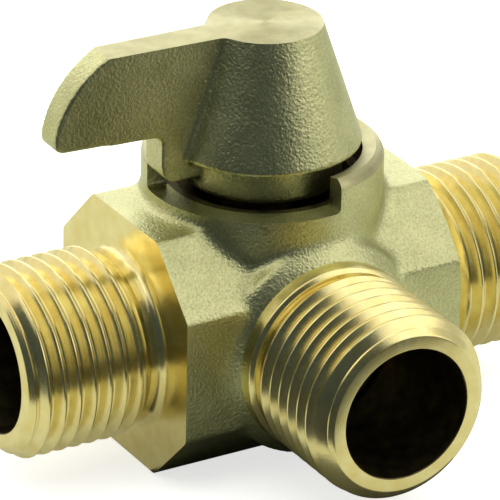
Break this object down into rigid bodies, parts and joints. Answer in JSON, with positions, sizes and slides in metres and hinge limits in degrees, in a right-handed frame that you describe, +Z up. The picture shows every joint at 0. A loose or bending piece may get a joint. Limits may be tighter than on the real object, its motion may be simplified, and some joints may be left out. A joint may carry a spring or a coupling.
{
  "type": "three way ball valve",
  "caption": "Brass three-way ball valve: octagonal forged body, male pipe threads on the run and the branch, and a cone-and-wing lever handle that turns an L-bored ball.",
  "frame": {"origin": "centre of the underside flat of the octagonal body, on the stem axis; the port axes lie 13.7 mm above it", "axes": "+X along the run towards the right port, -Y out of the branch port, +Z up along the stem towards the handle"},
  "size_m": [0.0662, 0.044, 0.0466],
  "materials": {
    "forged_brass": "forged and shot-blasted brass, satin grain",
    "turned_brass": "bright turned brass",
    "chromed_brass": "polished chrome plate on brass",
    "ptfe": "waxy white PTFE",
    "nitrile_rubber": "matt black rubber",
    "black_steel": "blackened steel"
  },
  "bodies": {
    "body": {"valve_body": "forged_brass", "seat_left": "ptfe", "seat_right": "ptfe", "seat_front": "ptfe", "seat_rear": "ptfe", "seat_backing_ring_left": "nitrile_rubber", "seat_backing_ring_right": "nitrile_rubber", "seat_backing_ring_front": "nitrile_rubber", "seat_retainer_left": "turned_brass", "seat_retainer_right": "turned_brass", "seat_retainer_front": "turned_brass"},
    "handle": {"handle": "forged_brass", "handle_set_screw": "black_steel", "stem": "turned_brass", "stem_thrust_washer": "ptfe", "stem_o_ring_lower": "nitrile_rubber", "stem_o_ring_upper": "nitrile_rubber", "ball": "chromed_brass"}
  },
  "joints": [
    {"name": "handle_turn", "type": "hinge", "parent": "body", "child": "handle", "pos_m": [0, 0, 0.0137], "axis": [0, 0, 1], "range_deg": [0, 90]}
  ]
}
